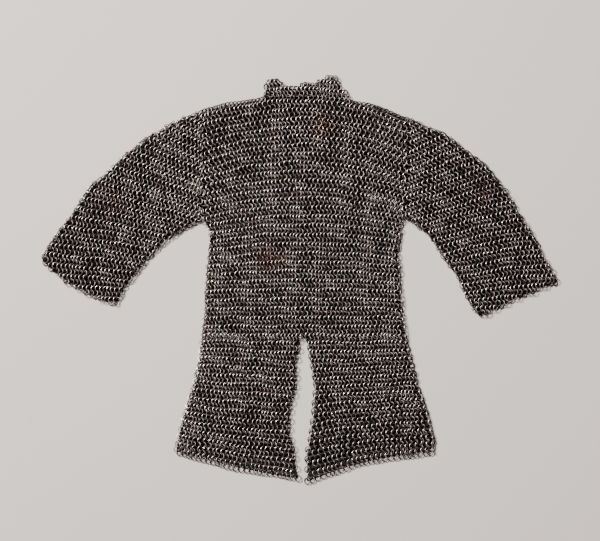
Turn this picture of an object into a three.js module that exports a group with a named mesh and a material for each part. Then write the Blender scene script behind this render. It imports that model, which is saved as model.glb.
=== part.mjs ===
// Chainmail hauberk, laid flat on its back: a mail shirt with a low standing collar, sleeves to the forearm
// and skirts split by a riding slit. It lies as two layers of mail, the back on the ground and the front on
// top. +X points to the wearer's left, +Y to the collar and +Z up. The origin is on the ground, under the
// middle of the outline. All sizes are in millimetres.
import * as THREE from 'three';

// One layer of mail. Its rings lean, so the layer is about half a ring deep.
const RING_OUTSIDE = 12.8;
const LAYER = RING_OUTSIDE / 2;
const GAP = 0.3;
const BACK_LAYER = { low: 0, high: LAYER, turnsDown: false };
const FRONT_LAYER = { low: LAYER + GAP, high: 2 * LAYER + GAP, turnsDown: true };

// How a layer's edge is finished. A cut edge is square. Where the mail turns over to the other layer its
// edge is rounded, and where a sleeve joins the body a shallow crease runs along the join. `reach` is how far
// in from the edge it starts, and `height` is what is left of the layer at the edge itself.
const TURNED = { reach: 7, height: 0.2 };
const CREASED = { reach: 16, height: 0.65 };
const CUT = { reach: 0, height: 1 };

// The largest folds: ridges on the front layer, given by their ends, their width and how far they rise.
const FOLDS = [
  { fromX: -285, fromY: 236, toX: -135, toY: 304, width: 30, rise: 3.5 },
  { fromX: 195, fromY: 282, toX: 330, toY: 190, width: 26, rise: 2.5 },
  { fromX: -150, fromY: 96, toX: -60, toY: 150, width: 34, rise: 2 },
  { fromX: 165, fromY: 98, toX: 80, toY: 160, width: 34, rise: 2 },
];

// The body, from the shoulders down to the top of the slit. Each row starts at the middle and drops towards
// each side.
const MIDDLE_X = 5.5;
const ARMPIT_Y = 104;
const BODY_ROWS = [
  { middleY: 343, rightX: -183, rightY: 315, leftX: 205, leftY: 299 },
  { middleY: 293, rightX: -181, rightY: 260, leftX: 200, leftY: 247 },
  { middleY: 238, rightX: -179, rightY: 204, leftX: 196, leftY: 197 },
  { middleY: 175, rightX: -177, rightY: 149, leftX: 192, leftY: 145 },
  { middleY: 128, rightX: -176, rightY: 108, leftX: 190, leftY: 110 },
  { middleY: 108, rightX: -169, rightY: 90, leftX: 187, leftY: 92 },
  { middleY: 49, rightX: -172, rightY: 38, leftX: 185, leftY: 38 },
  { middleY: -12, rightX: -176, rightY: -17, leftX: 189, leftY: -17 },
  { middleY: -71, rightX: -179, rightY: -73, leftX: 194, leftY: -73 },
  { middleY: -104, rightX: -182, rightY: -104, leftX: 199, leftY: -104 },
];

// The skirts, from the top of the slit to the hem. Each row starts at the slit and climbs to the side, and
// `bow` is how far its middle stands above the straight line between its ends.
const RIGHT_SKIRT_ROWS = [
  { slitX: 4, slitY: -104, sideX: -182, sideY: -104, bow: 0 },
  { slitX: 2, slitY: -129, sideX: -184, sideY: -123, bow: 0 },
  { slitX: -4, slitY: -151, sideX: -189, sideY: -143, bow: 0 },
  { slitX: -4, slitY: -199, sideX: -198, sideY: -186, bow: 0 },
  { slitX: -13, slitY: -225, sideX: -205, sideY: -212, bow: -1 },
  { slitX: -17, slitY: -277, sideX: -220, sideY: -256, bow: -2 },
  { slitX: -11, slitY: -302, sideX: -226, sideY: -277, bow: -3 },
  { slitX: -6, slitY: -326, sideX: -229, sideY: -295, bow: -3 },
  { slitX: -2, slitY: -347, sideX: -232, sideY: -308, bow: -4 },
  { slitX: 4, slitY: -373, sideX: -233, sideY: -319, bow: -5 },
];
const LEFT_SKIRT_ROWS = [
  { slitX: 7, slitY: -104, sideX: 199, sideY: -104, bow: 0 },
  { slitX: 13, slitY: -129, sideX: 203, sideY: -127, bow: 0 },
  { slitX: 17, slitY: -151, sideX: 207, sideY: -145, bow: 0 },
  { slitX: 25, slitY: -199, sideX: 220, sideY: -190, bow: 1 },
  { slitX: 24, slitY: -225, sideX: 229, sideY: -214, bow: 2 },
  { slitX: 17, slitY: -277, sideX: 241, sideY: -254, bow: 4 },
  { slitX: 13, slitY: -302, sideX: 246, sideY: -277, bow: 6 },
  { slitX: 9, slitY: -326, sideX: 250, sideY: -295, bow: 8 },
  { slitX: 8, slitY: -351, sideX: 249, sideY: -308, bow: 9 },
  { slitX: 8, slitY: -380, sideX: 248, sideY: -321, bow: 11 },
];
// The back's skirts are shorter: they stop one row above the hem of the front's.
const BACK_SKIRT_ROWS_LESS = 1;

// The sleeves, from the armhole to the cuff, as sections from the upper fold to the lower one. `bow` is how
// far a section's middle is pushed towards the cuff.
const RIGHT_SLEEVE_SECTIONS = [
  { upperX: -183, upperY: 315, underX: -176, underY: 108, bow: 0 },
  { upperX: -215, upperY: 304, underX: -189, underY: 107, bow: 1 },
  { upperX: -244, upperY: 290, underX: -203, underY: 99, bow: 2 },
  { upperX: -274, upperY: 271, underX: -218, underY: 92, bow: 3 },
  { upperX: -303, upperY: 251, underX: -231, underY: 82, bow: 4 },
  { upperX: -333, upperY: 227, underX: -246, underY: 71, bow: 5 },
  { upperX: -363, upperY: 199, underX: -261, underY: 58, bow: 6 },
  { upperX: -392, upperY: 171, underX: -276, underY: 42, bow: 7 },
  { upperX: -418, upperY: 134, underX: -290, underY: 29, bow: 8 },
  { upperX: -440, upperY: 101, underX: -305, underY: 6, bow: 8 },
  { upperX: -462, upperY: 69, underX: -320, underY: -14, bow: 9 },
  { upperX: -483, upperY: 36, underX: -337, underY: -47, bow: 12 },
];
const LEFT_SLEEVE_SECTIONS = [
  { upperX: 205, upperY: 299, underX: 190, underY: 110, bow: 0 },
  { upperX: 231, upperY: 288, underX: 203, underY: 108, bow: 1 },
  { upperX: 259, upperY: 277, underX: 216, underY: 97, bow: 2 },
  { upperX: 289, upperY: 258, underX: 229, underY: 88, bow: 3 },
  { upperX: 318, upperY: 236, underX: 242, underY: 73, bow: 3 },
  { upperX: 344, upperY: 214, underX: 253, underY: 58, bow: 3 },
  { upperX: 366, upperY: 188, underX: 265, underY: 42, bow: 3 },
  { upperX: 387, upperY: 160, underX: 276, underY: 23, bow: 2 },
  { upperX: 405, upperY: 130, underX: 287, underY: 5, bow: 2 },
  { upperX: 424, upperY: 99, underX: 298, underY: -14, bow: 1 },
  { upperX: 442, upperY: 66, underX: 309, underY: -34, bow: 0 },
  { upperX: 462, upperY: 29, underX: 320, underY: -56, bow: -2 },
  { upperX: 483, upperY: -6, underX: 333, underY: -72, bow: -4 },
];

// The collar, as upright sections from where it joins the body to its free edge, from the wearer's right to
// the left. It stands in two points with a dip between them over the throat.
const COLLAR_SECTIONS = [
  { baseX: -72, topX: -63, topY: 367 },
  { baseX: -61, topX: -57, topY: 377 },
  { baseX: -43, topX: -41, topY: 377 },
  { baseX: -33, topX: -33, topY: 364 },
  { baseX: -11, topX: -11, topY: 359 },
  { baseX: 2, topX: 2, topY: 363 },
  { baseX: 9, topX: 9, topY: 367 },
  { baseX: 22, topX: 22, topY: 365 },
  { baseX: 31, topX: 31, topY: 372 },
  { baseX: 44, topX: 44, topY: 377 },
  { baseX: 59, topX: 57, topY: 380 },
  { baseX: 76, topX: 68, topY: 376 },
  { baseX: 87, topX: 76, topY: 365 },
  { baseX: 94, topX: 85, topY: 351 },
];
const COLLAR_RIGHT_X = COLLAR_SECTIONS[0].baseX;
const COLLAR_LEFT_X = COLLAR_SECTIONS[COLLAR_SECTIONS.length - 1].baseX;

// Places along a panel's rows and down its length where it is built, as fractions. They crowd towards an edge
// that may turn over.
const ACROSS_FROM_MIDDLE = [0, 0.15, 0.3, 0.45, 0.6, 0.72, 0.82, 0.9, 0.96, 0.99, 1];
const ACROSS_BOTH_FOLDS = [0, 0.01, 0.04, 0.1, 0.17, 0.25, 0.4, 0.55, 0.7, 0.84, 0.95, 0.988, 1];
const ACROSS_COLLAR = [0, 0.5, 1];
const STEPS_BELOW_SHOULDER = [0, 0.04, 0.14, 0.3, 0.5, 0.75];

const MAIL_COLOUR = 0x4a4341;
const MAIL_ROUGHNESS = 0.5;
const MAIL_METALNESS = 1;

const mix = THREE.MathUtils.lerp;

// The point at fraction t of a curve from one end to the other whose middle is pushed out by (bowX, bowY).
function bowedPoint(from, to, bowX, bowY, t) {
  const push = 4 * t * (1 - t);
  return new THREE.Vector2(mix(from.x, to.x, t) + bowX * push, mix(from.y, to.y, t) + bowY * push);
}

// How much of the layer is left at a given distance from an edge, rounding off as a quarter circle.
function remaining(edge, distance) {
  if (distance >= edge.reach) return 1;
  const inward = 1 - distance / edge.reach;
  return edge.height + (1 - edge.height) * Math.sqrt(1 - inward * inward);
}

// How far the front layer's folds lift its top at a point.
function foldRise(point) {
  let rise = 0;
  for (const fold of FOLDS) {
    const start = new THREE.Vector2(fold.fromX, fold.fromY);
    const along = new THREE.Vector2(fold.toX, fold.toY).sub(start);
    const offset = point.clone().sub(start);
    const t = THREE.MathUtils.clamp(offset.dot(along) / along.lengthSq(), 0, 1);
    const distance = offset.addScaledVector(along, -t).length() / (fold.width / 2);
    if (distance < 1) rise += fold.rise * (0.5 + 0.5 * Math.cos(Math.PI * distance));
  }
  return rise;
}

// A panel of mail through rows of points, each row as long as the next. `edges` says how each of its four
// sides is finished, as a function of a point on that side: first and last are the end rows, and start and
// end are the rows' ends.
function mailPanel(name, layer, rows, edges) {
  const down = rows.length;
  const across = rows[0].length;
  const sides = [
    { finish: edges.first, nearest: (i, j) => rows[0][j] },
    { finish: edges.last, nearest: (i, j) => rows[down - 1][j] },
    { finish: edges.start, nearest: (i, j) => rows[i][0] },
    { finish: edges.end, nearest: (i, j) => rows[i][across - 1] },
  ].filter((side) => side.finish);

  const positions = [];
  for (const face of ['upper', 'lower']) {
    for (let i = 0; i < down; i++) {
      for (let j = 0; j < across; j++) {
        const point = rows[i][j];
        let share = 1;
        for (const side of sides) {
          const edgePoint = side.nearest(i, j);
          share = Math.min(share, remaining(side.finish(edgePoint), point.distanceTo(edgePoint)));
        }
        const depth = LAYER * share;
        let z = face === 'upper' ? layer.high : layer.low;
        if (layer.turnsDown && face === 'upper') z = layer.low + depth + share * foldRise(point);
        if (!layer.turnsDown && face === 'lower') z = layer.high - depth;
        positions.push(point.x, point.y, z);
      }
    }
  }

  const upper = (i, j) => i * across + j;
  const lower = (i, j) => down * across + i * across + j;
  const triangles = [];
  const quad = (a, b, c, d) => triangles.push(a, b, c, a, c, d);
  for (let i = 0; i < down - 1; i++) {
    for (let j = 0; j < across - 1; j++) {
      quad(upper(i, j), upper(i, j + 1), upper(i + 1, j + 1), upper(i + 1, j));
      quad(lower(i, j), lower(i + 1, j), lower(i + 1, j + 1), lower(i, j + 1));
    }
    quad(upper(i, 0), upper(i + 1, 0), lower(i + 1, 0), lower(i, 0));
    quad(upper(i, across - 1), lower(i, across - 1), lower(i + 1, across - 1), upper(i + 1, across - 1));
  }
  for (let j = 0; j < across - 1; j++) {
    quad(upper(0, j), lower(0, j), lower(0, j + 1), upper(0, j + 1));
    quad(upper(down - 1, j), upper(down - 1, j + 1), lower(down - 1, j + 1), lower(down - 1, j));
  }

  // The faces above point out where the next row lies to the left of the first. Elsewhere they are turned
  // round.
  const alongRow = rows[0][across - 1].clone().sub(rows[0][0]);
  const toNextRow = rows[down - 1][0].clone().sub(rows[0][0]);
  if (alongRow.cross(toNextRow) < 0) triangles.reverse();

  const geometry = new THREE.BufferGeometry();
  geometry.setAttribute('position', new THREE.Float32BufferAttribute(positions, 3));
  geometry.setIndex(triangles);
  geometry.computeVertexNormals();
  const material = new THREE.MeshStandardMaterial({
    color: MAIL_COLOUR,
    roughness: MAIL_ROUGHNESS,
    metalness: MAIL_METALNESS,
  });
  const mesh = new THREE.Mesh(geometry, material);
  mesh.name = name;
  return mesh;
}

const hauberk = new THREE.Group();

// ---- Body ----

// The point of a body row at fraction t from the middle to the side. A row is level at the middle and
// steepest at the side.
function bodyPoint(row, side, t) {
  const sideX = side === 'right' ? row.rightX : row.leftX;
  const sideY = side === 'right' ? row.rightY : row.leftY;
  const innerX = MIDDLE_X + (Math.sign(sideX) * GAP) / 2;
  return new THREE.Vector2(mix(innerX, sideX, t), mix(row.middleY, sideY, t * t));
}

// Rows of points for one half of the body, with the steps that round its shoulder over added below the first
// row and the last row held clear of the skirts.
function halfBodyRows(side) {
  const rows = [];
  const rowAt = (index, fraction) =>
    ACROSS_FROM_MIDDLE.map((t) => {
      const upper = bodyPoint(BODY_ROWS[index], side, t);
      const lower = bodyPoint(BODY_ROWS[Math.min(index + 1, BODY_ROWS.length - 1)], side, t);
      return upper.lerp(lower, fraction);
    });
  for (const fraction of STEPS_BELOW_SHOULDER) rows.push(rowAt(0, fraction));
  for (let index = 1; index < BODY_ROWS.length - 1; index++) {
    rows.push(rowAt(index, 0), rowAt(index, 0.5));
  }
  rows.push(rowAt(BODY_ROWS.length - 1, 0).map((point) => new THREE.Vector2(point.x, point.y + GAP)));
  return rows;
}

const underCollar = (point) => point.x >= COLLAR_RIGHT_X && point.x <= COLLAR_LEFT_X;
const shoulderFinish = (point) => (underCollar(point) ? CUT : TURNED);
const sideFinish = (point) => (point.y > ARMPIT_Y ? CREASED : TURNED);
const backSideFinish = (point) => (point.y > ARMPIT_Y ? CUT : TURNED);

const rightRows = halfBodyRows('right');
const leftRows = halfBodyRows('left');
hauberk.add(
  mailPanel('front_right', FRONT_LAYER, rightRows, { first: shoulderFinish, end: sideFinish }),
  mailPanel('front_left', FRONT_LAYER, leftRows, { first: shoulderFinish, end: sideFinish }),
);

// The back is one panel from side to side: the right half's rows run to the middle and on to the left side.
const backRows = rightRows.map((row, i) => [...row.toReversed(), ...leftRows[i].slice(1)]);
hauberk.add(
  mailPanel('back', BACK_LAYER, backRows, {
    first: shoulderFinish,
    start: backSideFinish,
    end: backSideFinish,
  }),
);

// ---- Skirts ----

function skirtRows(table) {
  return table.map((row) => {
    const slit = new THREE.Vector2(row.slitX, row.slitY);
    const side = new THREE.Vector2(row.sideX, row.sideY);
    return ACROSS_FROM_MIDDLE.map((t) => bowedPoint(slit, side, 0, row.bow, t));
  });
}

for (const [side, table] of [['right', RIGHT_SKIRT_ROWS], ['left', LEFT_SKIRT_ROWS]]) {
  const rows = skirtRows(table);
  const backSkirtRows = rows.slice(0, rows.length - BACK_SKIRT_ROWS_LESS);
  hauberk.add(
    mailPanel(`skirt_front_${side}`, FRONT_LAYER, rows, { end: () => TURNED }),
    mailPanel(`skirt_back_${side}`, BACK_LAYER, backSkirtRows, { end: () => TURNED }),
  );
}

// ---- Sleeves ----

// A section's middle is pushed square to the line between its ends, away from the body. The first section is
// held clear of the body.
function sleeveRows(table) {
  const outward = Math.sign(table[0].upperX);
  return table.map((section, index) => {
    const clearance = index === 0 ? outward * GAP : 0;
    const upper = new THREE.Vector2(section.upperX + clearance, section.upperY);
    const under = new THREE.Vector2(section.underX + clearance, section.underY);
    const along = under.clone().sub(upper).normalize();
    const bowX = -outward * along.y * section.bow;
    const bowY = outward * along.x * section.bow;
    return ACROSS_BOTH_FOLDS.map((t) => bowedPoint(upper, under, bowX, bowY, t));
  });
}

const SLEEVE_EDGES = { first: () => CREASED, start: () => TURNED, end: () => TURNED };
for (const [side, table] of [['right', RIGHT_SLEEVE_SECTIONS], ['left', LEFT_SLEEVE_SECTIONS]]) {
  const rows = sleeveRows(table);
  hauberk.add(
    mailPanel(`sleeve_${side}_front`, FRONT_LAYER, rows, SLEEVE_EDGES),
    mailPanel(`sleeve_${side}_back`, BACK_LAYER, rows, { ...SLEEVE_EDGES, first: () => CUT }),
  );
}

// ---- Collar ----

// The height of the body's first row where the collar joins it.
function shoulderLineY(x) {
  const row = BODY_ROWS[0];
  const sideX = x < MIDDLE_X ? row.rightX : row.leftX;
  const sideY = x < MIDDLE_X ? row.rightY : row.leftY;
  const t = (x - MIDDLE_X) / (sideX - MIDDLE_X);
  return mix(row.middleY, sideY, t * t);
}

const collarRows = COLLAR_SECTIONS.map((section) => {
  const base = new THREE.Vector2(section.baseX, shoulderLineY(section.baseX) + GAP);
  const top = new THREE.Vector2(section.topX, section.topY);
  return ACROSS_COLLAR.map((t) => base.clone().lerp(top, t));
});
const COLLAR_EDGES = { first: () => TURNED, last: () => TURNED };
hauberk.add(
  mailPanel('collar_front', FRONT_LAYER, collarRows, COLLAR_EDGES),
  mailPanel('collar_back', BACK_LAYER, collarRows, COLLAR_EDGES),
);

export default hauberk;
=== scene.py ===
# A chainmail hauberk laid flat on its back: body, skirts split by a slit, sleeves to the forearm and a low
# collar, all of linked steel rings. The script lays out each panel's rings in rows, turns them over at the
# folds, and links them up with Geometry Nodes. Sizes are in millimetres until a mesh is made.
import math

import bpy
import numpy as np
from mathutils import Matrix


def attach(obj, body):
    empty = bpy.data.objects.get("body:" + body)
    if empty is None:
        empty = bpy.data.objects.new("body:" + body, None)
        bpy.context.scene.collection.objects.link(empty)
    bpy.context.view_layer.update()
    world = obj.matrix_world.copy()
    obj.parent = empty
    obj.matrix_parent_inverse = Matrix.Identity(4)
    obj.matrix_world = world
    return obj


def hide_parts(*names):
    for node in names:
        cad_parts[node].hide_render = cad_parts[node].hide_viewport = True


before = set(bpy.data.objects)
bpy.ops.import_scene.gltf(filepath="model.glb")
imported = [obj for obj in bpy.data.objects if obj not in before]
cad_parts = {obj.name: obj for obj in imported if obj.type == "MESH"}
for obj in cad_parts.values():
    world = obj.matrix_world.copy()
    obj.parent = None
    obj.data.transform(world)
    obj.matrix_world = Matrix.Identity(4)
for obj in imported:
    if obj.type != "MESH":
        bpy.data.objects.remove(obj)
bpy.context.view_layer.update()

MM = 0.001


# ---- Ground, light and camera ---- The hauberk lies on a plain pale table. One large soft lamp lights it
# from the top left, a pale room fills the shade, and it is seen from straight above.
def linear(hex_colour):
    """An sRGB hex colour as linear RGBA."""
    channels = [int(hex_colour[i:i + 2], 16) / 255 for i in (1, 3, 5)]
    return [c / 12.92 if c <= 0.04045 else ((c + 0.055) / 1.055) ** 2.4 for c in channels] + [1.0]


def add_node(tree, kind, inputs=None, **settings):
    """Adds a node with its settings. Each input takes a value, or a link from a socket or a node's output."""
    made = tree.nodes.new(kind)
    for name, value in settings.items():
        setattr(made, name, value)
    usable = [socket for socket in made.inputs if socket.enabled]
    for key, value in (inputs or {}).items():
        socket = usable[key] if isinstance(key, int) else next(s for s in usable if s.name == key)
        if isinstance(value, bpy.types.Node):
            value = next(s for s in value.outputs if s.enabled)
        if isinstance(value, bpy.types.NodeSocket):
            tree.links.new(value, socket)
        else:
            socket.default_value = value
    return made


def new_material(name):
    """An empty material, as its node tree and its output node."""
    material = bpy.data.materials.new(name)
    material.use_nodes = True
    material.node_tree.nodes.clear()
    output = add_node(material.node_tree, "ShaderNodeOutputMaterial")
    return material, material.node_tree, output


TABLE_COLOUR = "#b3a9a3"
TABLE_SIZE = 6.0
table_top = bpy.data.meshes.new("table_top")
reach = TABLE_SIZE / 2
corners = [(-reach, -reach, 0), (reach, -reach, 0), (reach, reach, 0), (-reach, reach, 0)]
table_top.from_pydata(corners, [], [(0, 1, 2, 3)])
ground = bpy.data.objects.new("ground", table_top)
bpy.context.scene.collection.objects.link(ground)
painted_board, tree, output = new_material("matt painted board")
matt = add_node(tree, "ShaderNodeBsdfPrincipled", {"Base Color": linear(TABLE_COLOUR), "Roughness": 0.9})
tree.links.new(matt.outputs[0], output.inputs["Surface"])
table_top.materials.append(painted_board)

world = bpy.data.worlds.new("pale room")
world.use_nodes = True
world.node_tree.nodes["Background"].inputs["Color"].default_value = linear("#f4f1ee")
world.node_tree.nodes["Background"].inputs["Strength"].default_value = 0.24
bpy.context.scene.world = world

SOFTBOX_SIZE = 1.5
SOFTBOX_POWER = 970
SOFTBOX_PLACE = (-2.2, 2.1, 4.4)
softbox = bpy.data.lights.new("softbox", "AREA")
softbox.size = SOFTBOX_SIZE
softbox.energy = SOFTBOX_POWER
softbox_object = bpy.data.objects.new("softbox", softbox)
softbox_object.location = SOFTBOX_PLACE
aim = -softbox_object.location
softbox_object.rotation_euler = aim.to_track_quat("-Z", "Y").to_euler()
bpy.context.scene.collection.objects.link(softbox_object)

CAMERA_HEIGHT = 5.0
CAMERA_NORTH = 0.0185
VIEW_WIDTH = 1.11
lens = bpy.data.cameras.new("camera")
lens.sensor_width = 36
lens.lens = lens.sensor_width * CAMERA_HEIGHT / VIEW_WIDTH
lens.clip_end = 50
camera = bpy.data.objects.new("camera", lens)
camera.location = (0, CAMERA_NORTH, CAMERA_HEIGHT)
bpy.context.scene.collection.objects.link(camera)
bpy.context.scene.camera = camera


# ---- Rings ---- The mail is iron wire wound on a rod, cut into rings and hung as in four-in-one mail,
# where each ring holds two in the row above and two below. Rows of solid rings take turns with rows of
# rings closed by a riveted lap. The iron is oxidised nearly black. Its crowns are near white, partly from
# rubbed wear and partly as a painted highlight, and the riveted rows and the back's flat rings are
# darkened as painted shade. Rings are placed by rule, not solved for contact, so their wires often cut into
# one another.
RING_OUTSIDE = 12.8
WIRE = 1.65
RING_LEAN = 25
LAYER = 6.4
GAP = 0.3
BACK_MIDDLE = LAYER / 2
FRONT_MIDDLE = LAYER * 1.5 + GAP
BLACKENED = "#1a1311"
# Near white: rubbed wear on the crowns, and a painted highlight standing in for the lamp's shine.
WORN_AND_HIGHLIGHT = "#ecdcd7"
RUST = "#5a3a28"


def make_iron():
    """Aged iron wire, dark and dull in its hollows; where it stands out, rubbed wear and a painted highlight.
    """
    material, tree, output = new_material("oxidised iron wire")
    crown = add_node(tree, "ShaderNodeAttribute", attribute_name="crown")
    tone_and_shade = add_node(tree, "ShaderNodeAttribute", attribute_name="tone_and_shade")
    rust = add_node(tree, "ShaderNodeAttribute", attribute_name="rust")
    place = add_node(tree, "ShaderNodeTexCoord")
    pitting = add_node(
        tree,
        "ShaderNodeTexNoise",
        {"Vector": place.outputs["Object"], "Scale": 1 / (2.5 * MM), "Detail": 3.0, "Roughness": 0.6},
    )
    # Crowns brighten towards the near white: partly rubbed wear, partly a painted highlight.
    rubbed_and_highlight = add_node(
        tree,
        "ShaderNodeMapRange",
        {"Value": crown.outputs["Fac"], "From Min": -0.1, "From Max": 0.55, "To Min": 0.0, "To Max": 1.0},
    )
    # Each ring's tone, which holds painted shade on riveted rows and the back's flat rings, dims its crown.
    toned_and_shaded = add_node(tree, "ShaderNodeMath", {0: rubbed_and_highlight, 1: tone_and_shade.outputs["Fac"]}, operation="MULTIPLY")
    pitted = add_node(
        tree,
        "ShaderNodeMapRange",
        {"Value": pitting.outputs[0], "From Min": 0.35, "From Max": 0.65, "To Min": 0.7, "To Max": 1.15},
    )
    wear_and_painted_light = add_node(tree, "ShaderNodeMath", {0: toned_and_shaded, 1: pitted}, operation="MULTIPLY", use_clamp=True)
    metal = add_node(
        tree,
        "ShaderNodeMix",
        {"Factor": wear_and_painted_light, "A": linear(BLACKENED), "B": linear(WORN_AND_HIGHLIGHT)},
        data_type="RGBA",
    )
    rusty = add_node(
        tree,
        "ShaderNodeMix",
        {"Factor": rust.outputs["Fac"], "A": metal.outputs["Result"], "B": linear(RUST)},
        data_type="RGBA",
    )
    dull = add_node(
        tree,
        "ShaderNodeMapRange",
        {"Value": wear_and_painted_light, "From Min": 0.0, "From Max": 1.0, "To Min": 0.42, "To Max": 0.27},
    )
    iron = add_node(
        tree,
        "ShaderNodeBsdfPrincipled",
        {"Base Color": rusty.outputs["Result"], "Roughness": dull, "Metallic": 1.0},
    )
    tree.links.new(iron.outputs[0], output.inputs["Surface"])
    return material


def make_mail_tree():
    """The tree that hangs a ring on each station, leaning along its row, and joins them into one mesh."""
    tree = bpy.data.node_groups.new("linked rings", "GeometryNodeTree")
    sizes = {
        "Stations": "NodeSocketGeometry",
        "Ring Middle Radius": "NodeSocketFloat",
        "Wire Radius": "NodeSocketFloat",
        "Steps Round Ring": "NodeSocketInt",
        "Steps Round Wire": "NodeSocketInt",
        "Lap Swelling": "NodeSocketFloat",
        "Wobble": "NodeSocketFloat",
        "Size Spread": "NodeSocketFloat",
        "Seed": "NodeSocketInt",
        "Iron": "NodeSocketMaterial",
    }
    for name, kind in sizes.items():
        tree.interface.new_socket(name=name, in_out="INPUT", socket_type=kind)
    tree.interface.new_socket(name="Mail", in_out="OUTPUT", socket_type="NodeSocketGeometry")
    given = add_node(tree, "NodeGroupInput").outputs

    # What each station says of its ring, and the chances that make each ring its own.
    kinds_of_value = {
        "face": "FLOAT_VECTOR", "row": "FLOAT_VECTOR", "centre": "FLOAT_VECTOR",
        "lean": "FLOAT", "kind": "INT",
    }
    station = {
        name: add_node(tree, "GeometryNodeInputNamedAttribute", {"Name": name}, data_type=kind)
        for name, kind in kinds_of_value.items()
    }
    wobble_low = add_node(tree, "ShaderNodeMath", {0: given["Wobble"], 1: -1.0}, operation="MULTIPLY")
    spread_low = add_node(tree, "ShaderNodeMath", {0: 1.0, 1: given["Size Spread"]}, operation="SUBTRACT")
    spread_high = add_node(tree, "ShaderNodeMath", {0: 1.0, 1: given["Size Spread"]}, operation="ADD")
    ranges = {
        "lean": (wobble_low, given["Wobble"]),
        "rock": (wobble_low, given["Wobble"]),
        "spin": (0.0, math.tau),
        "size": (spread_low, spread_high),
    }
    chance = {}
    for number, (name, (low, high)) in enumerate(ranges.items(), start=1):
        seed = add_node(tree, "ShaderNodeMath", {0: given["Seed"], 1: float(number)}, operation="ADD")
        chance[name] = add_node(
            tree, "FunctionNodeRandomValue", {"Min": low, "Max": high, "Seed": seed}, data_type="FLOAT"
        )

    wire = add_node(
        tree,
        "GeometryNodeCurvePrimitiveCircle",
        {"Resolution": given["Steps Round Wire"], "Radius": given["Wire Radius"]},
    )
    round_ring = add_node(
        tree,
        "GeometryNodeCurvePrimitiveCircle",
        {"Resolution": given["Steps Round Ring"], "Radius": given["Ring Middle Radius"]},
    )
    at_lap = add_node(
        tree,
        "FunctionNodeCompare",
        {"A": add_node(tree, "GeometryNodeInputIndex"), "B": 0},
        data_type="INT",
        operation="EQUAL",
    )
    swelling = add_node(
        tree,
        "GeometryNodeSwitch",
        {"Switch": at_lap, "False": 1.0, "True": given["Lap Swelling"]},
        input_type="FLOAT",
    )
    lapped_ring = add_node(tree, "GeometryNodeSetCurveRadius", {"Curve": round_ring, "Radius": swelling})
    solid = add_node(tree, "GeometryNodeCurveToMesh", {"Curve": round_ring, "Profile Curve": wire})
    riveted = add_node(tree, "GeometryNodeCurveToMesh", {"Curve": lapped_ring, "Profile Curve": wire})
    kinds = add_node(tree, "GeometryNodeGeometryToInstance")
    tree.links.new(riveted.outputs[0], kinds.inputs[0])
    tree.links.new(solid.outputs[0], kinds.inputs[0])

    # The station's own frame: outwards from the cloth, and along the row. The ring leans about the line
    # square to both, then turns in its own plane, so that laps don't all face one way.
    upright = add_node(
        tree,
        "FunctionNodeAxesToRotation",
        {"Primary Axis": station["face"], "Secondary Axis": station["row"]},
        primary_axis="Z",
        secondary_axis="X",
    )
    lean = add_node(tree, "ShaderNodeMath", {0: station["lean"], 1: chance["lean"]}, operation="ADD")
    leaning = add_node(
        tree,
        "FunctionNodeRotateRotation",
        {
            "Rotation": upright,
            "Rotate By": add_node(
                tree, "FunctionNodeAxisAngleToRotation", {"Axis": (0, 1, 0), "Angle": lean}
            ),
        },
        rotation_space="LOCAL",
    )
    rocking = add_node(
        tree,
        "FunctionNodeRotateRotation",
        {
            "Rotation": leaning,
            "Rotate By": add_node(
                tree,
                "FunctionNodeAxisAngleToRotation",
                {"Axis": (1, 0, 0), "Angle": chance["rock"]},
            ),
        },
        rotation_space="LOCAL",
    )
    spun = add_node(
        tree,
        "FunctionNodeRotateRotation",
        {
            "Rotation": rocking,
            "Rotate By": add_node(
                tree,
                "FunctionNodeAxisAngleToRotation",
                {"Axis": (0, 0, 1), "Angle": chance["spin"]},
            ),
        },
        rotation_space="LOCAL",
    )
    hung = add_node(
        tree,
        "GeometryNodeInstanceOnPoints",
        {
            "Points": given["Stations"],
            "Instance": kinds,
            "Pick Instance": True,
            "Instance Index": station["kind"],
            "Rotation": spun,
            "Scale": chance["size"],
        },
    )
    joined = add_node(tree, "GeometryNodeRealizeInstances", {"Geometry": hung})

    # How far each point stands out from the ring's middle, from -1 inwards to 1 outwards.
    from_centre = add_node(
        tree,
        "ShaderNodeVectorMath",
        {0: add_node(tree, "GeometryNodeInputPosition"), 1: station["centre"]},
        operation="SUBTRACT",
    )
    height = add_node(
        tree,
        "ShaderNodeVectorMath",
        {0: from_centre, 1: station["face"]},
        operation="DOT_PRODUCT",
    )
    crown = add_node(
        tree,
        "ShaderNodeMath",
        {0: height.outputs["Value"], 1: LAYER / 2 * MM},
        operation="DIVIDE",
    )
    crowned = add_node(
        tree,
        "GeometryNodeStoreNamedAttribute",
        {"Geometry": joined, "Name": "crown", "Value": crown},
        data_type="FLOAT",
        domain="POINT",
    )
    smooth = add_node(tree, "GeometryNodeSetShadeSmooth", {"Geometry": crowned})
    finished = add_node(tree, "GeometryNodeSetMaterial", {"Geometry": smooth, "Material": given["Iron"]})
    add_node(tree, "NodeGroupOutput", {"Mail": finished})
    return tree


iron = make_iron()
mail_tree = make_mail_tree()
SOLID, RIVETED = 0, 1
FRONT_RING_STEPS = (12, 4)
BACK_RING_STEPS = (10, 3)
# A wire with so few sides is drawn out to look as thick as a round one.
FEW_SIDES = {4: 1.13, 3: 1.25}

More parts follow.
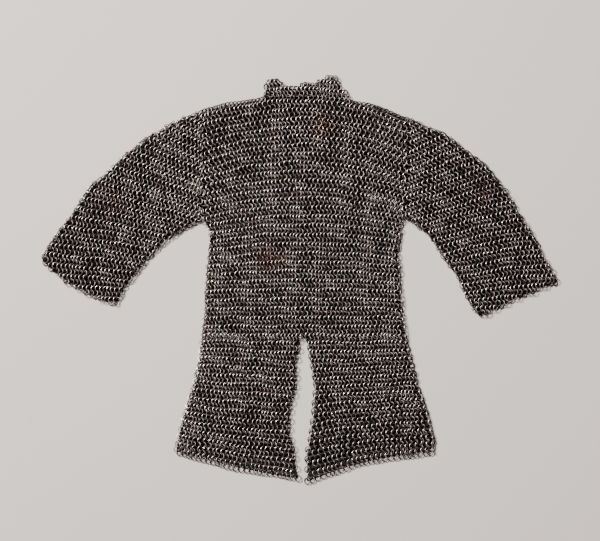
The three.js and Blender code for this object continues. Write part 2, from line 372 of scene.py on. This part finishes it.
# Patches of old rust, and one rubbed brighter than the rest below the throat.
RUST_PATCHES = [
    {"x": 46, "y": 288, "radius": 24, "amount": 0.75},
    {"x": -56, "y": 42, "radius": 26, "amount": 0.6},
    {"x": 342, "y": 168, "radius": 24, "amount": 0.5},
    {"x": -351, "y": 140, "radius": 24, "amount": 0.5},
]
BRIGHT_PATCHES = [{"x": 18, "y": 282, "radius": 40, "amount": 0.55}]


def patch_strength(xy, patches):
    """How strongly each place lies in the patches."""
    total = np.zeros(len(xy))
    for patch in patches:
        distance = np.hypot(xy[:, 0] - patch["x"], xy[:, 1] - patch["y"]) / patch["radius"]
        total += patch["amount"] * np.exp(-distance ** 2)
    return total


# Ridges where the mail has rucked up, by their ends, width and rise.
FOLDS = [
    {"start": (-285, 236), "end": (-135, 304), "width": 30, "rise": 3.5},
    {"start": (195, 282), "end": (330, 190), "width": 26, "rise": 2.5},
    {"start": (-150, 96), "end": (-60, 150), "width": 34, "rise": 2},
    {"start": (165, 98), "end": (80, 160), "width": 34, "rise": 2},
]


def fold_rise(xy):
    """How far the folds lift the front layer at each place."""
    rise = np.zeros(len(xy))
    for fold in FOLDS:
        start, end = np.array(fold["start"], float), np.array(fold["end"], float)
        along = end - start
        t = np.clip((xy - start) @ along / (along @ along), 0, 1)
        distance = np.linalg.norm(xy - start - t[:, None] * along, axis=1) / (fold["width"] / 2)
        rise += np.where(distance < 1, fold["rise"] * (0.5 + 0.5 * np.cos(np.pi * distance)), 0)
    return rise


def signed_distance(xy, edge):
    """Each place's distance inside an edge that runs anticlockwise round the garment, and the way out."""
    edge = np.asarray(edge, float)
    starts, steps = edge[:-1], np.diff(edge, axis=0)
    offset = xy[:, None, :] - starts[None]
    t = np.clip((offset * steps).sum(-1) / (steps ** 2).sum(-1), 0, 1)
    gap = offset - t[..., None] * steps
    distance = np.linalg.norm(gap, axis=-1)
    nearest = distance.argmin(1)
    pick = np.arange(len(xy))
    step = steps[nearest] / np.linalg.norm(steps[nearest], axis=1)[:, None]
    outwards = np.stack([step[:, 1], -step[:, 0]], 1)
    side = np.where((gap[pick, nearest] * outwards).sum(1) > 0, -1, 1)
    return distance[pick, nearest] * side, outwards


# Mail never lies quite straight: its rows drift in slow waves, a little over a millimetre each way.
drift_rng = np.random.default_rng(5)
WAVES = 10
wave_lengths = drift_rng.uniform(40, 130, WAVES)
wave_headings = drift_rng.uniform(0, math.tau, WAVES)
wave_sways = drift_rng.normal(0, 0.55, (WAVES, 2))
wave_phases = drift_rng.uniform(0, math.tau, WAVES)


def drift(xy):
    """How far each place has drifted, in x and y."""
    total = 0
    for length, heading, sway, phase in zip(wave_lengths, wave_headings, wave_sways, wave_phases):
        turn = math.tau / length * np.array([math.cos(heading), math.sin(heading)])
        total = total + np.sin(xy @ turn + phase)[:, None] * sway
    return total


# At a fold the mail bends round from one layer to the other.
FOLD_RADIUS = (FRONT_MIDDLE - BACK_MIDDLE) / 2
FOLD_MIDDLE = (FRONT_MIDDLE + BACK_MIDDLE) / 2
FOLD_INSET = FOLD_RADIUS + LAYER / 2
CUT_MARGIN = 5.4
TURNED_MARGIN = {"front": 1.4, "back": 3.2}
# Sleeve rings keep this clear of the body's, where the two meet.
SEAM_CLEARANCE = 5.0
# The front's hem comes down to the table over this distance.
HEM_DROP_REACH = 22
# How far rings stray: leaning in degrees, off their place, in size, and up or down by row. This is likely
# part of why wires cut into one another.
WOBBLE = {"front": 9, "back": 3}
SCATTER = 0.34
SIZE_SPREAD = 0.03
SOLID_LIFT, RIVETED_LIFT = 0.5, -0.6
# A ring whose face points this nearly up or down lies flat. Others are on a fold.
LYING_FLAT = 0.95
# Riveted rows, and the back's rings that lie flat, get a darker tone: painted shade.
RIVETED_PAINTED_SHADE = 0.22
HIDDEN_PAINTED_SHADE = 0.2
RUSTY_SHARE = 0.06
LAP_SWELLING = 1.3


def hang_rings(name, layer, values, seed):
    """Hangs a ring on each station, by its values, and turns the result into one plain mesh."""
    stations = bpy.data.meshes.new(name + "_stations")
    stations.from_pydata(values["centre"][1].tolist(), [], [])
    for attribute, (kind, data) in values.items():
        field = stations.attributes.new(attribute, kind, "POINT")
        if kind == "FLOAT_VECTOR":
            field.data.foreach_set("vector", np.asarray(data, np.float32).ravel())
        else:
            field.data.foreach_set("value", np.asarray(data, np.int32 if kind == "INT" else np.float32))

    panel = bpy.data.objects.new(name, stations)
    bpy.context.scene.collection.objects.link(panel)
    modifier = panel.modifiers.new("linked rings", "NODES")
    modifier.node_group = mail_tree
    steps = FRONT_RING_STEPS if layer == "front" else BACK_RING_STEPS
    settings = {
        "Ring Middle Radius": (RING_OUTSIDE - WIRE) / 2 * MM,
        "Wire Radius": WIRE / 2 * FEW_SIDES[steps[1]] * MM,
        "Steps Round Ring": steps[0],
        "Steps Round Wire": steps[1],
        "Lap Swelling": LAP_SWELLING,
        "Wobble": math.radians(WOBBLE[layer]),
        "Size Spread": SIZE_SPREAD,
        "Seed": seed,
        "Iron": iron,
    }
    for item in mail_tree.interface.items_tree:
        if item.item_type == "SOCKET" and item.in_out == "INPUT" and item.name in settings:
            modifier[item.identifier] = settings[item.name]
    bpy.context.view_layer.update()
    evaluated = panel.evaluated_get(bpy.context.evaluated_depsgraph_get())
    plain = bpy.data.meshes.new_from_object(evaluated)
    panel.modifiers.clear()
    panel.data = plain
    plain.name = name
    for spare in ("centre", "face", "row", "lean", "kind"):
        if spare in plain.attributes:
            plain.attributes.remove(plain.attributes[spare])
    return panel


def link_up(
    name, node, layer, rows, cut_edges, turned_edges, seed,
    drop_edge=None, keep_clear_of=None, margin=CUT_MARGIN,
):
    """Lays out rows of rings as one panel of mail. It keeps them inside the edges and turns over those that
    reach past a fold. It returns the panel and the places of its rings."""
    places, along, numbers = [], [], []
    for number, row in rows:
        if len(row) < 2:
            continue
        direction = np.gradient(row, axis=0)
        places.append(row)
        along.append(direction / np.linalg.norm(direction, axis=1)[:, None])
        numbers.append(np.full(len(row), number))
    xy, along, numbers = np.concatenate(places), np.concatenate(along), np.concatenate(numbers)
    along *= np.sign(along[:, :1])

    keep = np.ones(len(xy), bool)
    for edge in cut_edges:
        keep &= signed_distance(xy, edge)[0] > margin
    for edge in turned_edges:
        keep &= signed_distance(xy, edge)[0] > TURNED_MARGIN[layer]
    if keep_clear_of is not None:
        nearest = np.linalg.norm(xy[:, None] - keep_clear_of[None], axis=2).min(1)
        keep &= nearest > SEAM_CLEARANCE
    xy, along, numbers = xy[keep], along[keep], numbers[keep]

    upward = 1 if layer == "front" else -1
    middle = FRONT_MIDDLE if layer == "front" else BACK_MIDDLE
    height = np.full(len(xy), middle)
    face = np.zeros((len(xy), 3))
    face[:, 2] = upward
    row = np.concatenate([along, np.zeros((len(xy), 1))], 1)
    flat_xy = xy.copy()
    if layer == "front":
        height += fold_rise(xy)
        if drop_edge is not None:
            past = np.clip(1 - signed_distance(xy, drop_edge)[0] / HEM_DROP_REACH, 0, 1)
            height -= (FRONT_MIDDLE - BACK_MIDDLE) * past * past * (3 - 2 * past)
    for edge in turned_edges:
        inside, outwards = signed_distance(xy, edge)
        angle = np.clip((FOLD_INSET - inside) / FOLD_RADIUS, 0, math.pi / 2)
        turning = angle > 0
        shift = inside - (FOLD_INSET - FOLD_RADIUS * np.sin(angle))
        xy = np.where(turning[:, None], xy + outwards * shift[:, None], xy)
        bent = FOLD_MIDDLE + upward * FOLD_RADIUS * np.cos(angle)
        height = np.where(turning, bent, height)
        out3 = np.concatenate([outwards, np.zeros((len(xy), 1))], 1)
        up3 = np.array([0, 0, upward])
        across = (row * out3).sum(1)[:, None]
        turned_out = np.cos(angle)[:, None] * out3 - np.sin(angle)[:, None] * up3
        row = np.where(turning[:, None], row - across * out3 + across * turned_out, row)
        turned_face = np.sin(angle)[:, None] * out3 + np.cos(angle)[:, None] * up3
        face = np.where(turning[:, None], turned_face, face)

    rng = np.random.default_rng(seed)
    jitter = rng.normal(0, SCATTER, (len(xy), 3))
    centres = np.concatenate([xy, height[:, None]], 1) + jitter
    centres[:, :2] += drift(flat_xy)
    odd = numbers % 2
    centres[:, 2] += np.where(odd == 1, SOLID_LIFT, RIVETED_LIFT) * (np.abs(face[:, 2]) > LYING_FLAT)
    lean = np.where(odd == 1, 1, -1) * math.radians(RING_LEAN)

    # No ring reaches below the ground, however it tilts.
    wobble = math.radians(WOBBLE[layer])
    axis_z = np.cos(lean) * face[:, 2] + np.sin(lean) * row[:, 2]
    tilt = np.minimum(np.arccos(np.abs(axis_z)) + 1.2 * wobble, math.pi / 2)
    lowest = (RING_OUTSIDE - WIRE) / 2 * np.sin(tilt) + WIRE / 2
    centres[:, 2] = np.maximum(centres[:, 2], lowest * (1 + SIZE_SPREAD))

    rust = np.clip(patch_strength(flat_xy, RUST_PATCHES) * rng.uniform(0.4, 1.2, len(xy)), 0, 1)
    rust = np.maximum(rust, np.where(rng.random(len(xy)) < RUSTY_SHARE, rng.uniform(0.1, 0.5, len(xy)), 0))
    # Tone varies at random from ring to ring; riveted rows are darkened as painted shade.
    tone_and_shade = (0.4 + 0.6 * rng.random(len(xy))) * np.where(odd == 1, 1.0, RIVETED_PAINTED_SHADE)
    tone_and_shade *= 1 + patch_strength(flat_xy, BRIGHT_PATCHES)
    # The back's flat rings, seen through the front's holes, are darkened as painted shade.
    if layer == "back":
        tone_and_shade *= np.where(np.abs(face[:, 2]) < LYING_FLAT, 1.0, HIDDEN_PAINTED_SHADE)

    values = {
        "centre": ("FLOAT_VECTOR", centres * MM),
        "face": ("FLOAT_VECTOR", face),
        "row": ("FLOAT_VECTOR", row),
        "lean": ("FLOAT", lean),
        "rust": ("FLOAT", rust),
        "tone_and_shade": ("FLOAT", tone_and_shade),
        "kind": ("INT", np.where(odd == 1, SOLID, RIVETED)),
    }
    panel = hang_rings(name, layer, values, seed)
    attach(panel, "root")
    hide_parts(node)
    return panel, flat_xy


# ---- Body ---- The front is two halves linked down the middle and the back is one panel. Their rows of
# rings hang in arcs from the shoulders, level at the middle, and the columns open out upwards from the
# waist. The mail turns over at the shoulders and, below the armpits, at the sides.
MIDDLE_X = 5.5
COLUMNS = 26
BODY_ROWS = [
    {"middle_y": 343, "right": (-183, 315), "left": (205, 299)},
    {"middle_y": 293, "right": (-181, 260), "left": (200, 247)},
    {"middle_y": 238, "right": (-179, 204), "left": (196, 197)},
    {"middle_y": 175, "right": (-177, 149), "left": (192, 145)},
    {"middle_y": 128, "right": (-176, 108), "left": (190, 110)},
    {"middle_y": 108, "right": (-169, 90), "left": (187, 92)},
    {"middle_y": 49, "right": (-172, 38), "left": (185, 38)},
    {"middle_y": -12, "right": (-176, -17), "left": (189, -17)},
    {"middle_y": -71, "right": (-179, -73), "left": (194, -73)},
    {"middle_y": -104, "right": (-182, -104), "left": (199, -104)},
]
ARMPIT_ROW = 4
# The top row of rings hangs this far below the body's top edge.
TOP_ROW_INSET = 5.0
# How far apart the columns stand at the top of each side, once they have opened out above the armpits.
SHOULDER_PITCH = {"front": {"right": 7.7, "left": 8.3}, "back": {"right": 7.2, "left": 7.2}}
OPENS_FROM, OPEN_BY = 30, 290
# In the skirts and sleeves, the back's rings are shifted to lie behind the front's openings.
BACK_SHIFT = {"columns": 0.25, "rows": 0.5}


def row_pitch(column_pitch):
    """Mail closes up between its rows as it opens along them."""
    return 8.45 - 0.37 * (column_pitch - 7.0)


def body_side(side, y):
    """Where a row that starts at height y in the middle ends at the side."""
    table = BODY_ROWS[::-1]
    heights = [row["middle_y"] for row in table]
    return np.array([np.interp(y, heights, [row[side][axis] for row in table]) for axis in (0, 1)])


def body_pitch(layer, side, y):
    """How far apart the columns stand in the row that starts at height y."""
    span = abs(body_side(side, y)[0] - MIDDLE_X) - TURNED_MARGIN["back"]
    opening = np.clip((y - OPENS_FROM) / (OPEN_BY - OPENS_FROM), 0, 1)
    opening = opening * opening * (3 - 2 * opening)
    return span / COLUMNS * (1 - opening) + SHOULDER_PITCH[layer][side] * opening


def body_row_heights(layer):
    """The heights of the rows at the middle, from the shoulders down to the top of the slit."""
    heights = [BODY_ROWS[0]["middle_y"] - TOP_ROW_INSET]
    while heights[-1] > BODY_ROWS[-1]["middle_y"] + 4:
        pitch = (body_pitch(layer, "right", heights[-1]) + body_pitch(layer, "left", heights[-1])) / 2
        heights.append(heights[-1] - row_pitch(pitch))
    return heights


FRONT_HEIGHTS = body_row_heights("front")


def body_rows(layer, sides):
    """The rings' places in each row of the body, on one side or on both."""
    rows = []
    for number, y in enumerate(body_row_heights(layer)):
        row = []
        for side in sides:
            side_x, side_y = body_side(side, y)
            sign = 1 if side == "left" else -1
            span = abs(side_x - MIDDLE_X)
            first = 0.5 if number % 2 == 0 else (0.0 if side == "left" else 1.0)
            out = (first + np.arange(COLUMNS + 6)) * body_pitch(layer, side, y)
            out = out[out < span]
            points = np.stack([MIDDLE_X + sign * out, y + (side_y - y) * (out / span) ** 2], 1)
            row.append(points[::-1] if side == "right" else points)
        rows.append((number, np.concatenate(row)))
    return rows


def body_edge(side, first, last):
    """A stretch of the body's side, from one row of its table to another."""
    return [row[side] for row in BODY_ROWS[first:last]]


def shoulder_line(x):
    """The height of the body's top edge."""
    x = np.asarray(x, float)
    top = BODY_ROWS[0]
    ends = np.where(x < MIDDLE_X, top["right"][0], top["left"][0])
    drops = np.where(x < MIDDLE_X, top["right"][1], top["left"][1]) - top["middle_y"]
    return top["middle_y"] + drops * ((x - MIDDLE_X) / (ends - MIDDLE_X)) ** 2


def along_shoulder(start, end, count):
    """Points along the body's top edge."""
    return [(x, float(shoulder_line(x))) for x in np.linspace(start, end, count)]


COLLAR_RIGHT_X, COLLAR_LEFT_X = -72, 94
right_end, left_end = BODY_ROWS[0]["right"][0], BODY_ROWS[0]["left"][0]
right_shoulder = along_shoulder(COLLAR_RIGHT_X, right_end, 8)
left_shoulder = along_shoulder(left_end, COLLAR_LEFT_X, 8)
right_side = body_edge("right", ARMPIT_ROW, len(BODY_ROWS))
left_side = body_edge("left", ARMPIT_ROW, len(BODY_ROWS))[::-1]


def body_outline(sides):
    """The outline of half of the body, or of all of it."""
    outline = []
    if "right" in sides:
        outline += along_shoulder(MIDDLE_X, right_end, 10)
        outline += body_edge("right", 1, len(BODY_ROWS))
    else:
        outline += [(MIDDLE_X, 343), (MIDDLE_X, -104)]
    if "left" in sides:
        outline += body_edge("left", 1, len(BODY_ROWS))[::-1]
        outline += along_shoulder(left_end, MIDDLE_X, 10)
    else:
        outline += [(MIDDLE_X, -104)]
    return outline


def cut_area(outline):
    """The area inside an outline, in square metres."""
    x, y = np.asarray(outline, float).T
    return abs(np.dot(x, np.roll(y, -1)) - np.dot(y, np.roll(x, -1))) / 2 * MM * MM


back, back_places = link_up(
    "back_mail", "back", "back", body_rows("back", ["right", "left"]), [],
    [right_shoulder, right_side, left_side, left_shoulder], 11,
)
front_right, right_places = link_up(
    "front_right_mail", "front_right", "front", body_rows("front", ["right"]), [],
    [right_shoulder, right_side], 12,
)
front_left, left_places = link_up(
    "front_left_mail", "front_left", "front", body_rows("front", ["left"]), [],
    [left_side, left_shoulder], 13,
)
back_area = cut_area(body_outline(["right", "left"]))
right_area, left_area = cut_area(body_outline(["right"])), cut_area(body_outline(["left"]))


# ---- Skirts ----
# Below the slit each side hangs free, front and back. The rows sag towards the slit and the columns open out
# towards the hem. The front's skirts are a little longer than the back's, and their hem drops to the ground.
SKIRT_ROWS = 31
SLIT_MARGIN, SIDE_MARGIN = 5.6, 4.2
RIGHT_SKIRT = [
    {"slit": (4, -104), "side": (-182, -104), "bow": 0},
    {"slit": (2, -129), "side": (-184, -123), "bow": 0},
    {"slit": (-4, -151), "side": (-189, -143), "bow": 0},
    {"slit": (-4, -199), "side": (-198, -186), "bow": 0},
    {"slit": (-13, -225), "side": (-205, -212), "bow": -1},
    {"slit": (-17, -277), "side": (-220, -256), "bow": -2},
    {"slit": (-11, -302), "side": (-226, -277), "bow": -3},
    {"slit": (-6, -326), "side": (-229, -295), "bow": -3},
    {"slit": (-2, -347), "side": (-232, -308), "bow": -4},
    {"slit": (4, -373), "side": (-233, -319), "bow": -5},
]
LEFT_SKIRT = [
    {"slit": (7, -104), "side": (199, -104), "bow": 0},
    {"slit": (13, -129), "side": (203, -127), "bow": 0},
    {"slit": (17, -151), "side": (207, -145), "bow": 0},
    {"slit": (25, -199), "side": (220, -190), "bow": 1},
    {"slit": (24, -225), "side": (229, -214), "bow": 2},
    {"slit": (17, -277), "side": (241, -254), "bow": 4},
    {"slit": (13, -302), "side": (246, -277), "bow": 6},
    {"slit": (9, -326), "side": (250, -295), "bow": 8},
    {"slit": (8, -351), "side": (249, -308), "bow": 9},
    {"slit": (8, -380), "side": (248, -321), "bow": 11},
]


def skirt_row(table, depth):
    """The slit end, side end and bow of the row at that fraction of the way down to the hem."""
    middles = np.array([(row["slit"][1] + row["side"][1]) / 2 for row in table])
    share = (middles[0] - middles) / (middles[0] - middles[-1])
    ends = np.array([[*row["slit"], *row["side"], row["bow"]] for row in table], float)
    slit_x, slit_y, side_x, side_y, bow = (float(np.interp(depth, share, column)) for column in ends.T)
    return np.array([slit_x, slit_y]), np.array([side_x, side_y]), bow


def skirt_point(slit, side, bow, t):
    """The point at fraction t of a bowed row."""
    t = np.asarray(t, float)[:, None]
    return slit + (side - slit) * t + np.array([0, bow]) * 4 * t * (1 - t)


def skirt_rows(table, layer):
    """The rings' places in each row of a skirt."""
    rows = []
    shift = BACK_SHIFT if layer == "back" else {"columns": 0, "rows": 0}
    for k in range(SKIRT_ROWS):
        number = len(FRONT_HEIGHTS) + k
        slit, side, bow = skirt_row(table, (k + shift["rows"] + 0.55) / (SKIRT_ROWS + 0.15))
        width = np.linalg.norm(side - slit)
        stagger = shift["columns"] + (0.0 if number % 2 == 0 else 0.5)
        filled = width - (SLIT_MARGIN + SIDE_MARGIN)
        places = SLIT_MARGIN + filled * (np.arange(COLUMNS) + stagger) / (COLUMNS - 0.5)
        points = skirt_point(slit, side, bow, places / width)
        rows.append((number, points if side[0] > slit[0] else points[::-1]))
    return rows


def skirt_outline(table):
    """A skirt's outline: down the slit, along the hem and up the side."""
    last = table[-1]
    slit, side = np.array(last["slit"], float), np.array(last["side"], float)
    hem = skirt_point(slit, side, last["bow"], np.linspace(0, 1, 9))
    slit_points = [row["slit"] for row in table]
    side_points = [row["side"] for row in table]
    return slit_points + [tuple(p) for p in hem[1:-1]] + side_points[::-1]


BACK_HEM_ROWS_LESS = 3
skirt_hems = {}
for side, table in (("right", RIGHT_SKIRT), ("left", LEFT_SKIRT)):
    outline = skirt_outline(table)
    side_edge = [row["side"] for row in table]
    hem = outline[len(table) - 1:-len(table) + 1]
    if side == "left":
        side_edge = side_edge[::-1]
    else:
        hem = hem[::-1]
    skirt_hems[side] = hem
    seed = 21 if side == "right" else 31
    back_rows = skirt_rows(table, "back")[:-BACK_HEM_ROWS_LESS]
    front_rows = skirt_rows(table, "front")
    skirt_back, _ = link_up(
        f"skirt_back_{side}_mail", f"skirt_back_{side}", "back", back_rows, [], [side_edge], seed,
    )
    skirt_front, _ = link_up(
        f"skirt_front_{side}_mail", f"skirt_front_{side}", "front", front_rows, [], [side_edge], seed + 1,
        drop_edge=hem,
    )


# ---- Sleeves ---- Each sleeve is a tube that meets the body round the armhole, laid flat in two layers.
# Its rows slope steeply at the armhole and level out towards the cuff, and its columns cross them squarely.
RIGHT_SLEEVE = [
    {"upper": (-183, 315), "under": (-176, 108)},
    {"upper": (-215, 304), "under": (-189, 107)},
    {"upper": (-244, 290), "under": (-203, 99)},
    {"upper": (-274, 271), "under": (-218, 92)},
    {"upper": (-303, 251), "under": (-231, 82)},
    {"upper": (-333, 227), "under": (-246, 71)},
    {"upper": (-363, 199), "under": (-261, 58)},
    {"upper": (-392, 171), "under": (-276, 42)},
    {"upper": (-418, 134), "under": (-290, 29)},
    {"upper": (-440, 101), "under": (-305, 6)},
    {"upper": (-462, 69), "under": (-320, -14)},
    {"upper": (-483, 36), "under": (-337, -47)},
]
LEFT_SLEEVE = [
    {"upper": (205, 299), "under": (190, 110)},
    {"upper": (231, 288), "under": (203, 108)},
    {"upper": (259, 277), "under": (216, 97)},
    {"upper": (289, 258), "under": (229, 88)},
    {"upper": (318, 236), "under": (242, 73)},
    {"upper": (344, 214), "under": (253, 58)},
    {"upper": (366, 188), "under": (265, 42)},
    {"upper": (387, 160), "under": (276, 23)},
    {"upper": (405, 130), "under": (287, 5)},
    {"upper": (424, 99), "under": (298, -14)},
    {"upper": (442, 66), "under": (309, -34)},
    {"upper": (462, 29), "under": (320, -56)},
    {"upper": (483, -6), "under": (333, -72)},
]
CUFF_BOW = {"right": 12, "left": -4}
SLEEVE_COLUMN_PITCH = 7.6
SLEEVE_ROW_PITCH = 8.0
SLOPE_AT_SHOULDER = 30
SLOPE_EASING = 0.05
LEAST_SLOPE = 5
SLEEVE_REACH = 330
SLEEVE_DEPTH = 430
# Rows are laid out from above the shoulder point and cut at the sleeve's edges.
FIRST_OUT, FIRST_DOWN = -10.0, -30.0
INNERMOST = -40
SEAM_OVERLAP = 5


def row_slope(out, down):
    """A sleeve row's slope, in radians, at a place out and down from the shoulder point."""
    return math.radians(max(LEAST_SLOPE, SLOPE_AT_SHOULDER - SLOPE_EASING * (out + down)))


def march(out, down, step, limit):
    """Places along a sleeve row from one of its rings, a step apart, until it reaches the limit."""
    places = []
    while abs(out) < limit and out > INNERMOST:
        places.append((out, down))
        slope = row_slope(out, down)
        out, down = out + step * math.cos(slope), down - step * math.sin(slope)
    return places


def sleeve_rows(side, table, layer):
    """The rings' places in each row of a sleeve, before its edges are cut."""
    sign = 1 if side == "left" else -1
    shoulder = np.array(table[0]["upper"], float)
    rows = []
    out, down = FIRST_OUT, FIRST_DOWN
    if layer == "back":
        out += BACK_SHIFT["columns"] * SLEEVE_COLUMN_PITCH
        down += BACK_SHIFT["rows"] * SLEEVE_ROW_PITCH
    number = 0
    while down < SLEEVE_DEPTH:
        slope = row_slope(out, down)
        stagger = 0.5 * (number % 2) * SLEEVE_COLUMN_PITCH
        start = (out + stagger * math.cos(slope), down - stagger * math.sin(slope))
        outer = march(*start, SLEEVE_COLUMN_PITCH, SLEEVE_REACH)
        inner = march(*start, -SLEEVE_COLUMN_PITCH, SLEEVE_REACH)[1:]
        row = np.array(inner[::-1] + outer)
        row = shoulder + row * np.array([sign, -1])
        rows.append((number, row if side == "left" else row[::-1]))
        out += SLEEVE_ROW_PITCH * math.sin(slope)
        down += SLEEVE_ROW_PITCH * math.cos(slope)
        number += 1
    return rows


sleeve_edges = {}
for side, table in (("right", RIGHT_SLEEVE), ("left", LEFT_SLEEVE)):
    sign = 1 if side == "left" else -1
    upper_edge = [row["upper"] for row in table]
    under_edge = [row["under"] for row in table]
    along = np.array(under_edge[-1], float) - upper_edge[-1]
    towards_cuff = sign * np.array([-along[1], along[0]]) / np.linalg.norm(along)
    t = np.linspace(0, 1, 9)[:, None]
    cuff = np.array(upper_edge[-1]) + along * t + towards_cuff * CUFF_BOW[side] * 4 * t * (1 - t)
    armhole = np.array([upper_edge[0], under_edge[0]], float)
    outline = upper_edge + [tuple(p) for p in cuff[1:-1]] + under_edge[::-1]
    if side == "right":
        edges = {"upper": upper_edge, "cuff": cuff, "under": under_edge[::-1], "armhole": armhole[::-1]}
    else:
        edges = {"upper": upper_edge[::-1], "cuff": cuff[::-1], "under": under_edge, "armhole": armhole}
    sleeve_edges[side] = edges
    body_places = right_places if side == "right" else left_places
    inner_edge = edges["armhole"] - np.array([sign * (CUT_MARGIN + SEAM_OVERLAP), 0])
    seed = 41 if side == "right" else 51
    for layer in ("back", "front"):
        piece, _ = link_up(
            f"sleeve_{side}_{layer}_mail", f"sleeve_{side}_{layer}", layer, sleeve_rows(side, table, layer),
            [edges["cuff"], inner_edge], [edges["upper"], edges["under"]], seed + (layer == "front"),
            keep_clear_of=body_places if layer == "front" else back_places,
        )


# ---- Collar ----
# A low tube of mail round the neck opening, laid flat in two layers. It stands in two points, with a dip
# between them over the throat where loose rings stick up.
COLLAR_TOP = [
    (94, 334), (85, 351), (76, 365), (68, 376), (57, 380), (44, 377), (31, 372), (22, 365), (9, 367), (2, 363),
    (-11, 359), (-33, 364), (-41, 377), (-57, 377), (-63, 367), (-72, 338),
]
COLLAR_COLUMN_PITCH = 7.0
COLLAR_ROW_PITCH = 7.6
COLLAR_ROWS = 6
COLLAR_MARGIN = 4.2
LOOSE_RINGS = [(3.0, 358.5), (10.5, 361.5)]


def collar_rows():
    """The rings' places in each row of the collar, one above another from the body's top row."""
    rows = []
    for k in range(1, COLLAR_ROWS + 1):
        offset = 0.0 if k % 2 == 0 else 0.5
        x = MIDDLE_X + (np.arange(-15, 16) + offset) * COLLAR_COLUMN_PITCH
        y = shoulder_line(x) - TOP_ROW_INSET + k * COLLAR_ROW_PITCH
        rows.append((k + 1, np.stack([x, y], 1)))
    rows.append((COLLAR_ROWS + 1, np.array(LOOSE_RINGS)))
    return rows


for layer in ("back", "front"):
    piece, _ = link_up(
        f"collar_{layer}_mail", f"collar_{layer}", layer, collar_rows(), [COLLAR_TOP], [],
        61 + (layer == "front"), margin=COLLAR_MARGIN,
    )


# ---- Card underneath: painted shade ----
# Part of the stage, not of the garment: a sheet of black card on the table, cut a little smaller than the
# garment. It is painted shade, standing in for the dark under and between the garment's layers, and keeps
# the table's light from coming up through the rings.
CARD_INSET = 5.0
CARD_THICKNESS = 0.05


def inset(outline, distance):
    """An outline moved inwards all round. It runs anticlockwise."""
    points = np.asarray(outline, float)
    points = points[np.linalg.norm(points - np.roll(points, 1, 0), axis=1) > 0.5]
    steps = np.roll(points, -1, 0) - points
    steps /= np.linalg.norm(steps, axis=1)[:, None]
    inwards = np.stack([-steps[:, 1], steps[:, 0]], 1)
    corner = inwards + np.roll(inwards, 1, 0)
    corner /= np.maximum((corner ** 2).sum(1) / 2, 0.5)[:, None]
    return points + corner * distance


def listed(points):
    """Points as a list of pairs."""
    return [tuple(point) for point in points]


garment = (
    listed(COLLAR_TOP)
    + listed(right_shoulder)
    + listed(sleeve_edges["right"]["upper"])
    + listed(sleeve_edges["right"]["cuff"])
    + listed(sleeve_edges["right"]["under"])
    + listed(right_side)
    + listed(row["side"] for row in RIGHT_SKIRT)
    + listed(skirt_hems["right"])
    + listed(row["slit"] for row in RIGHT_SKIRT[::-1])
    + listed(row["slit"] for row in LEFT_SKIRT)
    + listed(skirt_hems["left"])
    + listed(row["side"] for row in LEFT_SKIRT[::-1])
    + listed(left_side)
    + listed(sleeve_edges["left"]["under"])
    + listed(sleeve_edges["left"]["cuff"])
    + listed(sleeve_edges["left"]["upper"])
    + listed(left_shoulder)
)
card_outline = inset(garment, CARD_INSET)
painted_shade_sheet = bpy.data.meshes.new("painted_shade_card")
card_corners = [(x * MM, y * MM, CARD_THICKNESS * MM) for x, y in card_outline]
painted_shade_sheet.from_pydata(card_corners, [], [range(len(card_outline))])
painted_shade_object = bpy.data.objects.new("painted_shade_card", painted_shade_sheet)
bpy.context.scene.collection.objects.link(painted_shade_object)
painted_shade_card, tree, output = new_material("matt black card")
black = add_node(tree, "ShaderNodeBsdfPrincipled", {"Base Color": linear("#0c0b0b"), "Roughness": 0.95})
tree.links.new(black.outputs[0], output.inputs["Surface"])
painted_shade_sheet.materials.append(painted_shade_card)
